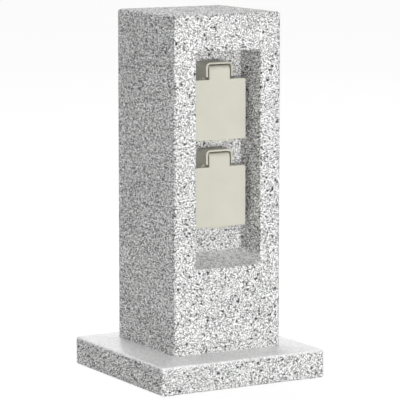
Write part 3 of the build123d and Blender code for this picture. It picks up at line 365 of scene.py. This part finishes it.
def place_of(finish):
    """The object's own coordinates in a finish, as three values."""
    place = place_in(finish.node_tree)
    return [place.node("ShaderNodeSeparateXYZ", None, output=index, Vector=place) for index in range(3)]


# %% Polish the ledges and paint a sheen on them
def polish_and_paint_sheen(finish, mask, painted_sheen, coat=1.0):
    """Make a stone smooth and clear-coated where the mask is 1, and paint it paler there as a painted
    sheen.
    """
    tree = finish.node_tree
    shader = tree.nodes["Principled BSDF"]
    rough = Wire(tree, shader.inputs["Roughness"].links[0].from_socket)
    stone = Wire(tree, shader.inputs["Base Color"].links[0].from_socket)
    feed(shader, "Roughness", rough * (1.0 - mask) + mask * POLISHED_ROUGHNESS)
    # Painted sheen: where the mask is 1, the stone's colour is mixed towards a pale grey.
    feed(shader, "Base Color", (mask * painted_sheen).mix(stone, PAINTED_SHEEN_COLOUR))
    feed(shader, "Coat Weight", mask * coat)
    shader.inputs["Coat Roughness"].default_value = COAT_ROUGHNESS
    shader.inputs["Coat IOR"].default_value = COAT_IOR


on_base_top = place_of(base_granite)[2].span(POLISH_START, POLISH_FULL)
polish_and_paint_sheen(base_granite, on_base_top, BASE_PAINTED_SHEEN)
on_sill = 1.0
for value, low, high in zip(place_of(column_granite), SILL_LOW, SILL_HIGH):
    on_sill = value.above(low) * value.below(high) * on_sill
polish_and_paint_sheen(column_granite, on_sill, SILL_PAINTED_SHEEN, SILL_COAT)
print("the base's polish starts", round(1000 * POLISH_START, 1), "mm above the ground")

# %% [markdown]
# ## Moulded plastics
# The frames and lids are moulded in a greyish beige, with the very fine spark texture of the
# mould and a slight unevenness in tone. The inner parts are off-white, the gland dark grey. One
# recipe serves all three, because only the colour, the gloss and the texture's depth differ.

# %% Plastics
PLASTIC_PATCHES = 38.0
PLASTIC_DARKER = 0.965
PLASTIC_PALER = 1.025
PLASTIC_GLOSS_PATCHES = 160.0
PLASTIC_GLOSS_SPREAD = 0.05
SPARK_TEXTURE = 2600.0
SPARK_STRENGTH = 0.5


def plastic(name, base_colour, roughness, texture_depth):
    """Moulded plastic with a fine spark texture."""
    finish, shader, place = new_finish(name, base_colour, roughness)
    tone = drift(place, PLASTIC_PATCHES, detail=3.0)
    feed(shader, "Base Color", tone.mix(tinted(base_colour, PLASTIC_DARKER),
                                        tinted(base_colour, PLASTIC_PALER)))
    feed(shader, "Roughness", drift(place, PLASTIC_GLOSS_PATCHES, roughness - PLASTIC_GLOSS_SPREAD,
                                    roughness + PLASTIC_GLOSS_SPREAD))
    add_bump(shader, cloud(place, SPARK_TEXTURE, 3.0), texture_depth, SPARK_STRENGTH)
    return finish


beige_plastic = plastic("beige plastic", (0.52, 0.509, 0.438), 0.46, 0.00004)
pale_plastic = plastic("pale plastic", (0.74, 0.73, 0.69), 0.42, 0.00003)
dark_plastic = plastic("dark plastic", (0.045, 0.046, 0.05), 0.5, 0.00005)
print("plastics:", beige_plastic.name, pale_plastic.name, dark_plastic.name, sep="\n  ")

# %% [markdown]
# ## Rubber
# The seals and feet are black rubber, dark and dull. A plain black would look like a hole, so a
# little dust lies on it in patches, and a fine grain breaks its gloss.

# %% Rubber
RUBBER_ROUGHNESS = 0.75
CLEAN_RUBBER = (0.022, 0.022, 0.024)
PLAIN_RUBBER = (0.028, 0.028, 0.03)
DUSTY_RUBBER = (0.06, 0.06, 0.06)
DUST_PATCHES = 90.0
DUST_LOW = 0.45
DUST_HIGH = 0.75
RUBBER_GRAIN = 1800.0
RUBBER_RELIEF = 0.00005
RUBBER_STRENGTH = 0.5

seal_rubber, shader, place = new_finish("seal rubber", PLAIN_RUBBER, RUBBER_ROUGHNESS)
dust = cloud(place, DUST_PATCHES, 4.0).span(DUST_LOW, DUST_HIGH)
feed(shader, "Base Color", dust.mix(CLEAN_RUBBER, DUSTY_RUBBER))
add_bump(shader, cloud(place, RUBBER_GRAIN), RUBBER_RELIEF, RUBBER_STRENGTH)
print("rubber:", seal_rubber.name)

# %% [markdown]
# ## Brass and steel
# The contacts are bright brass, the screws and pins are zinc-plated steel. Both drift slightly in
# tone and gloss from place to place, which a single number for each would not show.

# %% Metals
METAL_PATCHES = 120.0
METAL_GLOSS_PATCHES = 700.0
METAL_SMOOTHER = 0.07
METAL_ROUGHER = 0.08
METAL_GRAIN = 2400.0
METAL_RELIEF = 0.00002
METAL_STRENGTH = 0.4


def metal(name, low_colour, high_colour, roughness):
    """Bright metal whose tone and gloss drift a little."""
    finish, shader, place = new_finish(name, low_colour, roughness, Metallic=1.0)
    feed(shader, "Base Color", drift(place, METAL_PATCHES, detail=3.0).mix(low_colour, high_colour))
    feed(shader, "Roughness", drift(place, METAL_GLOSS_PATCHES, roughness - METAL_SMOOTHER,
                                    roughness + METAL_ROUGHER, 3.0))
    add_bump(shader, cloud(place, METAL_GRAIN), METAL_RELIEF, METAL_STRENGTH)
    return finish


brass = metal("brass", (0.74, 0.53, 0.24), (0.83, 0.64, 0.33), 0.3)
zinc_steel = metal("zinc plated steel", (0.56, 0.57, 0.58), (0.68, 0.68, 0.67), 0.34)
print("metals:", brass.name, zinc_steel.name, sep="\n  ")

# %% [markdown]
# ## Wire insulation
# The wires are brown, blue, and green with a yellow stripe. The stripe runs along the wire. It
# could follow the wire's own length, but the earth wires lie in the post's middle plane, so the
# side-to-side coordinate alone picks the stripe.

# %% Insulation
STRIPE_HALF_WIDTH = 0.0007
INSULATION_ROUGHNESS = 0.38
INSULATION_PATCHES = 60.0
INSULATION_DARKER = 0.92
INSULATION_GRAIN = 1500.0
INSULATION_RELIEF = 0.00002
INSULATION_STRENGTH = 0.4


def insulation(name, base_colour, stripe=None):
    """Soft plastic round a wire, plain or with a stripe."""
    finish, shader, place = new_finish(name, base_colour, INSULATION_ROUGHNESS)
    tone = drift(place, INSULATION_PATCHES)
    cover = tone.mix(tinted(base_colour, INSULATION_DARKER), base_colour)
    if stripe:
        across = place.node("ShaderNodeSeparateXYZ", None, Vector=place)
        on_stripe = across.math("ABSOLUTE", across).below(STRIPE_HALF_WIDTH)
        cover = on_stripe.mix(cover, stripe)
    feed(shader, "Base Color", cover)
    add_bump(shader, cloud(place, INSULATION_GRAIN), INSULATION_RELIEF, INSULATION_STRENGTH)
    return finish


brown_insulation = insulation("brown insulation", (0.16, 0.06, 0.025))
blue_insulation = insulation("blue insulation", (0.02, 0.1, 0.42))
green_insulation = insulation("green insulation", (0.05, 0.3, 0.06), stripe=(0.75, 0.6, 0.03))
print("a stripe is", round(2000 * STRIPE_HALF_WIDTH, 1), "mm wide")

# %% [markdown]
# ## Dress the solids
# The record says which material slot every piece uses, so one loop gives each solid its finish.
# The base is the same stone as the column, but it has a finish of its own, because its top is
# ground smooth and carries a painted sheen all over.

# %% Give each solid its finish
SLOT_FINISHES = {
    "granite_cast": column_granite,
    "beige_plastic": beige_plastic,
    "pale_plastic": pale_plastic,
    "dark_plastic": dark_plastic,
    "seal_rubber": seal_rubber,
    "brass_parts": brass,
    "steel_parts": zinc_steel,
    "brown_wire": brown_insulation,
    "blue_wire": blue_insulation,
    "green_wire": green_insulation,
}

slot_of = {entry["node"]: entry["material_slot"] for entry in frame["record"]["subparts"]}
for name, piece in nodes.items():
    finish = base_granite if name == "base_plate" else SLOT_FINISHES[slot_of[name]]
    for holder in piece.material_slots:
        holder.material = finish
print("dressed", len(nodes), "pieces with", len(bpy.data.materials), "finishes")

# %% [markdown]
# ## Screws
# A real screw has a drive in its head and a thread on its shank, and the solid model has neither.
# The drive could be drawn with a picture, but it catches light on its inner walls, so it is cut.
# First each screw of a group is found and measured: its head end, the way it points, its radii.

# %% Find the separate solids of a group
WELD = 1e-6


def islands(node_name):
    """The points of each separate solid of a piece, in the order of its mesh."""
    shape = bmesh.new()
    shape.from_mesh(nodes[node_name].data)
    bmesh.ops.remove_doubles(shape, verts=shape.verts, dist=WELD)
    groups = []
    for start in shape.verts:
        if start.tag:
            continue
        start.tag = True
        reached = [start]
        group = []
        while reached:
            vert = reached.pop()
            group.append(vert.co.copy())
            for edge in vert.link_edges:
                other = edge.other_vert(vert)
                if not other.tag:
                    other.tag = True
                    reached.append(other)
        groups.append(group)
    shape.free()
    return groups


# %% Measure one screw
LEVEL = 1e-4
EXAMPLES = {"cover_screws": 2, "column_bolts": 2, "upper_frame_screws": 1}


def measure_screw(points, axis):
    """Where a screw's head ends, which way its shank points, and its sizes."""
    across = [index for index in range(3) if index != axis]
    low = Vector([min(point[index] for point in points) for index in range(3)])
    high = Vector([max(point[index] for point in points) for index in range(3)])
    centre = (low + high) / 2

    def reach(point):
        return math.hypot(*(point[index] - centre[index] for index in across))

    low_radius = max(reach(point) for point in points if point[axis] < low[axis] + LEVEL)
    high_radius = max(reach(point) for point in points if point[axis] > high[axis] - LEVEL)
    head_is_high = high_radius > low_radius
    head = centre.copy()
    head[axis] = high[axis] if head_is_high else low[axis]
    way = Vector((0, 0, 0))
    way[axis] = -1.0 if head_is_high else 1.0
    shank_radius = min(low_radius, high_radius)
    shank_points = [point for point in points if abs(reach(point) - shank_radius) < LEVEL]
    return {
        "head": head,
        "way": way,
        "head_radius": max(reach(point) for point in points),
        "head_height": min(abs(point[axis] - head[axis]) for point in shank_points),
        "shank_radius": shank_radius,
        "length": high[axis] - low[axis],
    }


for example, axis in EXAMPLES.items():
    sizes = measure_screw(islands(example)[0], axis)
    in_millimetres = {key: round(1000 * sizes[key], 2) for key in ("head_radius", "shank_radius", "length")}
    print(example, in_millimetres)

# %% [markdown]
# ## Turning the head and the shank
# A screw is turned, so its body is a profile spun about its axis. The profile lies in the plane of
# X and Z with the head's top at the origin. Its points on the axis spin in place, so doubles are
# merged afterwards, and only then are the normals recalculated.

# %% Spin the body of a screw
AROUND = 32
ROOT_SHARE = 0.8
HEAD_EDGE_SHARE = 0.12
TIP_SHARE = 0.35
DOME_STEPS = [(0.72, 0.0), (0.9, 0.6), (0.985, 2.0), (1.0, 4.0)]


def spin_profile(points):
    """A closed body turned from a profile of radius and height pairs."""
    shape = bmesh.new()
    verts = [shape.verts.new((radius, 0.0, height)) for radius, height in points]
    edges = [shape.edges.new(pair) for pair in zip(verts, verts[1:])]
    bmesh.ops.spin(shape, geom=verts + edges, cent=(0, 0, 0), axis=(0, 0, 1),
                   angle=math.tau, steps=AROUND, use_merge=True)
    bmesh.ops.remove_doubles(shape, verts=shape.verts, dist=WELD)
    bmesh.ops.recalc_face_normals(shape, faces=shape.faces)
    return shape


def shank_profile(sizes, start):
    """The outline of a shank, at the root of its thread, down to its chamfered tip."""
    root = sizes["shank_radius"] * ROOT_SHARE
    tip = root * TIP_SHARE
    end = -sizes["length"]
    return [(root, start), (root, end + tip), (root - tip, end), (0.0, end)]


def screw_profile(sizes, head):
    """The outline of a round screw. A dome's steps are shares of the radius and of the edge."""
    radius, head_height = sizes["head_radius"], sizes["head_height"]
    edge = head_height * HEAD_EDGE_SHARE
    if head == "countersunk":
        outline = [(radius, 0.0), (radius, -edge), (sizes["shank_radius"], -head_height)]
    else:
        outline = [(radius * share, -edge * depth) for share, depth in DOME_STEPS]
        outline += [(radius, edge - head_height), (radius - edge, -head_height)]
    return [(0.0, 0.0), *outline, *shank_profile(sizes, -head_height - edge)]


# %% [markdown]
# ## The thread
# A thread is one small triangle swept along a helix. The spin operator does just that when each
# step also moves a little along the axis. The triangle is a face, so the sweep's ends are closed.
# It starts a little inside the shank, so that no gap shows between them.

# %% Sweep a thread
STEPS_PER_TURN = 16
PITCH_SHARE = 0.75
THREAD_WIDTH_SHARE = 0.62
THREAD_SINK = 0.94
THREAD_CREST = 0.995
BARE_PITCHES = 2.5


def add_thread(shape, sizes):
    """Wind a thread round the shank, from under the head to just above the tip."""
    outer = sizes["shank_radius"]
    pitch = outer * PITCH_SHARE
    half = pitch * THREAD_WIDTH_SHARE / 2
    top = -sizes["head_height"] - pitch
    turns = max(1, int((sizes["length"] - sizes["head_height"] - BARE_PITCHES * pitch) / pitch))
    inside = outer * ROOT_SHARE * THREAD_SINK
    corners = [(inside, 0, top + half), (outer * THREAD_CREST, 0, top), (inside, 0, top - half)]
    face = shape.faces.new([shape.verts.new(corner) for corner in corners])
    bmesh.ops.spin(shape, geom=[face, *face.edges, *face.verts], cent=(0, 0, 0), axis=(0, 0, 1),
                   dvec=(0, 0, -pitch / STEPS_PER_TURN), angle=math.tau * turns,
                   steps=STEPS_PER_TURN * turns)


# %% [markdown]
# ## The drives
# A cross drive is a plus-shaped pocket whose walls lean inwards, and a slot is a plain groove. Both
# are cut with a Boolean, because a pocket drawn by hand on a round head leaves long thin faces.

# %% A cutter for a cross drive
CROSS_ARM_SHARE = 0.12
CROSS_REACH_SHARE = 0.58
CROSS_DEPTH_SHARE = 0.62
CROSS_TAPER = 0.6
CUT_MARGIN = 0.0002


def extrude_down(shape, faces, depth, taper=1.0):
    """Extrude faces downwards, with the far end drawn in by a taper."""
    swept = bmesh.ops.extrude_face_region(shape, geom=faces)
    lower = [item for item in swept["geom"] if isinstance(item, bmesh.types.BMVert)]
    bmesh.ops.scale(shape, verts=lower, vec=(taper, taper, 1.0))
    bmesh.ops.translate(shape, verts=lower, vec=(0, 0, -depth))


def cross_cutter(sizes):
    """A plus-shaped plug that tapers downwards."""
    radius = sizes["head_radius"] * CROSS_REACH_SHARE
    arm = sizes["head_radius"] * CROSS_ARM_SHARE
    shape = bmesh.new()
    bmesh.ops.create_grid(shape, x_segments=3, y_segments=3, size=radius)
    for vert in shape.verts:
        for index in (0, 1):
            if abs(vert.co[index]) < radius / 2:
                vert.co[index] = math.copysign(arm, vert.co[index])
    corners = [face for face in shape.faces
               if min(abs(value) for value in face.calc_center_median().xy) > arm]
    bmesh.ops.delete(shape, geom=corners, context="FACES")
    extrude_down(shape, shape.faces[:], sizes["head_height"] * CROSS_DEPTH_SHARE + CUT_MARGIN, CROSS_TAPER)
    bmesh.ops.translate(shape, verts=shape.verts, vec=(0, 0, CUT_MARGIN))
    bmesh.ops.recalc_face_normals(shape, faces=shape.faces)
    return shape


# %% A cutter for a slot
SLOT_HALF_SHARE = 0.11
SLOT_LENGTH_SHARE = 2.4
SLOT_DEPTH_SHARE = 0.5


def slot_cutter(sizes):
    """A bar that is longer than the head is wide."""
    radius = sizes["head_radius"]
    depth = sizes["head_height"] * SLOT_DEPTH_SHARE
    shape = bmesh.new()
    bmesh.ops.create_cube(shape, size=1.0)
    bmesh.ops.scale(shape, verts=shape.verts, vec=(
        SLOT_LENGTH_SHARE * radius,
        2 * SLOT_HALF_SHARE * radius,
        depth + CUT_MARGIN,
    ))
    bmesh.ops.translate(shape, verts=shape.verts, vec=(0, 0, (CUT_MARGIN - depth) / 2))
    return shape


# %% Cut one shape with another
def mesh_object(name, shape):
    """Turn a bmesh into an object of its own and free it."""
    made = bpy.data.objects.new(name, bpy.data.meshes.new(name))
    shape.to_mesh(made.data)
    shape.free()
    bpy.context.scene.collection.objects.link(made)
    return made


def cut_mesh(body_shape, cutter_shape):
    """The body less the cutter, as a mesh. Both helper objects are removed again."""
    body = mesh_object("screw body", body_shape)
    cutter = mesh_object("screw cutter", cutter_shape)
    trim = body.modifiers.new("drive", "BOOLEAN")
    trim.object = cutter
    trim.operation = "DIFFERENCE"
    trim.solver = "EXACT"
    ready = body.evaluated_get(bpy.context.evaluated_depsgraph_get())
    result = bpy.data.meshes.new_from_object(ready)
    for helper in (body, cutter):
        bpy.data.objects.remove(helper)
    return result


# %% [markdown]
# ## Hexagon bolts
# The four bolts that hold the column have hexagon heads, so that a spanner grips them inside the
# base. A circle of six points, extruded and chamfered on its outer rim, is the whole head. The
# shank starts halfway down inside it, because two faces in one plane show up as black patches.

# %% Hexagon head
HEXAGON_TURN = math.radians(30)
CHAMFER_SHARE = 0.12


def hexagon_bolt(sizes):
    """A bolt's shank with a chamfered hexagon head."""
    inside_head = -sizes["head_height"] / 2
    shape = spin_profile([(0.0, inside_head), *shank_profile(sizes, inside_head)])
    ring = bmesh.ops.create_circle(shape, cap_ends=True, segments=6, radius=sizes["head_radius"],
                                   matrix=Matrix.Rotation(HEXAGON_TURN, 4, "Z"))
    top_face = next(face for face in ring["verts"][0].link_faces if len(face.verts) == 6)
    extrude_down(shape, [top_face], sizes["head_height"])
    bmesh.ops.bevel(shape, geom=top_face.edges[:], affect="EDGES", segments=2, profile=0.5,
                    offset=sizes["head_height"] * CHAMFER_SHARE, material=-1)
    bmesh.ops.recalc_face_normals(shape, faces=shape.faces)
    return shape


# %% [markdown]
# ## One mesh for each group
# The screws of a group are copies of one finished pattern. They could be instances, but every copy
# is turned to its own place in the mesh itself, so the object stays at the origin, as the solid
# that it replaces does. Each screw is also turned on its own axis, as a real one ends up.

# %% One finished screw
def screw_pattern(sizes, drive, head):
    """One finished screw as a mesh, head up at the origin."""
    if drive == "hexagon":
        shape = hexagon_bolt(sizes)
    else:
        cutter = cross_cutter(sizes) if drive == "cross" else slot_cutter(sizes)
        body = cut_mesh(spin_profile(screw_profile(sizes, head)), cutter)
        shape = bmesh.new()
        shape.from_mesh(body)
    add_thread(shape, sizes)
    pattern = bpy.data.meshes.new("screw pattern")
    shape.to_mesh(pattern)
    shape.free()
    return pattern


# %% Make the screw groups
DEGREES_BETWEEN_SCREWS = 37
SCREW_KINDS = {
    "cover_screws": (2, "cross", "countersunk"),
    "column_bolts": (2, "hexagon", "flat"),
    "terminal_screws": (2, "slot", "domed"),
    "block_screws": (2, "cross", "domed"),
}
for socket in ("upper", "lower"):
    SCREW_KINDS[f"{socket}_frame_screws"] = (1, "cross", "domed")
    SCREW_KINDS[f"{socket}_carrier_screws"] = (1, "cross", "domed")
    SCREW_KINDS[f"{socket}_contact_screws"] = (1, "slot", "domed")

for group_name, (axis, drive, head) in SCREW_KINDS.items():
    measured = [measure_screw(points, axis) for points in islands(group_name)]
    pattern = screw_pattern(measured[0], drive, head)
    joined = bmesh.new()
    for number, sizes in enumerate(measured):
        turned = pattern.copy()
        turn = Matrix.Rotation(math.radians(DEGREES_BETWEEN_SCREWS * number), 4, "Z")
        stand = sizes["way"].to_track_quat("-Z", "Y").to_matrix().to_4x4()
        turned.transform(Matrix.Translation(sizes["head"]) @ stand @ turn)
        joined.from_mesh(turned)
        bpy.data.meshes.remove(turned)
    screws = mesh_object(f"detailed_{group_name}", joined)
    screws.data.materials.append(zinc_steel)
    screws.data.shade_flat()
    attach(screws, "post")
    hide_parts(group_name)
    print(group_name, len(measured), "screws,", len(screws.data.polygons), "faces")

# %% [markdown]
# ## Lid springs
# A torsion spring has one leg on the frame and its tail in the lid's knuckle, so its coil twists
# when the lid opens. The solid model keeps it in its rest shape on the frame. A welded copy of the
# same wire takes its place, in the same rest shape.

for socket in ("upper", "lower"):
    node_name = f"{socket}_lid_spring"
    wire_shape = bmesh.new()
    wire_shape.from_mesh(nodes[node_name].data)
    bmesh.ops.remove_doubles(wire_shape, verts=wire_shape.verts, dist=WELD)
    spring = mesh_object(f"twisting_{node_name}", wire_shape)
    spring.data.materials.clear()
    spring.data.materials.append(zinc_steel)
    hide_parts(node_name)
    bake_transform(spring)
    print(spring.name, len(spring.data.polygons), "faces")

# %% [markdown]
# ## Floor and background
# The post stands on white. Brighter lamps would bleach the stone too, so the floor and the world
# are white only to rays from the camera, a mirror or glass. To the light that falls on the post
# the floor is a plain pale surface, and it keeps a trace of the post's soft shadow.

# %% Floor
FLOOR_SIZE = 12.0
FLOOR_COLOUR = (0.82, 0.82, 0.82)
FLOOR_ROUGHNESS = 0.9
SHADOW_KEPT = 0.1
WHITE = (1.0, 1.0, 1.0)
WHITE_GLOW = 1.05


def seen_directly(tree):
    """1 for rays from the camera, a mirror or glass, and 0 for rays that light the post."""
    path = tree.nodes.new("ShaderNodeLightPath")
    seen, mirrored, through = (
        Wire(tree, path.outputs[f"Is {kind} Ray"]) for kind in ("Camera", "Glossy", "Transmission"))
    return seen.math("MAXIMUM", seen, seen.math("MAXIMUM", mirrored, through))


floor_shape = bmesh.new()
bmesh.ops.create_grid(floor_shape, x_segments=1, y_segments=1, size=FLOOR_SIZE / 2)
floor = mesh_object("floor", floor_shape)
floor_finish, floor_shader, _ = new_finish("floor", FLOOR_COLOUR, FLOOR_ROUGHNESS)
tree = floor_finish.node_tree
glow = tree.nodes.new("ShaderNodeEmission")
glow.inputs["Color"].default_value = colour(WHITE)
glow.inputs["Strength"].default_value = WHITE_GLOW
floor_mix = tree.nodes.new("ShaderNodeMixShader")
tree.links.new((seen_directly(tree) * (1.0 - SHADOW_KEPT)).socket, floor_mix.inputs[0])
tree.links.new(floor_shader.outputs[0], floor_mix.inputs[1])
tree.links.new(glow.outputs[0], floor_mix.inputs[2])
tree.links.new(floor_mix.outputs[0], tree.nodes["Material Output"].inputs["Surface"])
floor.data.materials.append(floor_finish)
print("the floor is", FLOOR_SIZE, "m wide")

# %% World
WORLD_LEVEL = 0.15

world = bpy.data.worlds.new("studio")
world.use_nodes = True
sky = world.node_tree
sky_colour = seen_directly(sky).mix((WORLD_LEVEL,) * 3, WHITE)
sky.links.new(sky_colour.socket, sky.nodes["Background"].inputs["Color"])
bpy.context.scene.world = world
print("the world lights the post at", WORLD_LEVEL)

# %% [markdown]
# ## Lamps
# A wide, low lamp near the camera does most of the work: it reaches into the window, and leaves
# the left side in an even shade. A small high one lights the sill and the hoods from above, the
# top one the column's top and the base. One more at each side keeps the sides from going dark.
# Their mirror images are left out, because they would turn the screws' flat heads plain white.

# %% Soft lamps
LAMP_DISTANCE = 3.0
LAMPS = {
    "front lamp": {"turn": -14.0, "tilt": 0.0, "width": 2.0, "height": 0.4, "watts": 66.0},
    "high front lamp": {"turn": 8.0, "tilt": 42.0, "width": 0.8, "height": 0.8, "watts": 20.0},
    "left lamp": {"turn": -70.0, "tilt": 8.0, "width": 1.2, "height": 1.2, "watts": 7.5},
    "right lamp": {"turn": 105.0, "tilt": 15.0, "width": 1.2, "height": 1.2, "watts": 40.0},
    "top lamp": {"turn": 180.0, "tilt": 65.0, "width": 1.2, "height": 1.2, "watts": 56.0},
}


def soft_lamp(name, turn, tilt, width, height, watts):
    """A soft lamp that faces the middle of the post."""
    lamp = bpy.data.objects.new(name, bpy.data.lights.new(name, "AREA"))
    lamp.data.shape = "RECTANGLE"
    lamp.data.size = width
    lamp.data.size_y = height
    lamp.data.energy = watts
    way_out = direction(math.radians(turn), math.radians(tilt))
    lamp.location = Vector((0, 0, cad_box[1][2] / 2)) + way_out * LAMP_DISTANCE
    look_back(lamp, way_out)
    lamp.visible_glossy = False
    bpy.context.scene.collection.objects.link(lamp)


for lamp_name, settings in LAMPS.items():
    soft_lamp(lamp_name, **settings)
    print(lamp_name, settings["watts"], "W")
bpy.context.scene.view_settings.view_transform = "Standard"
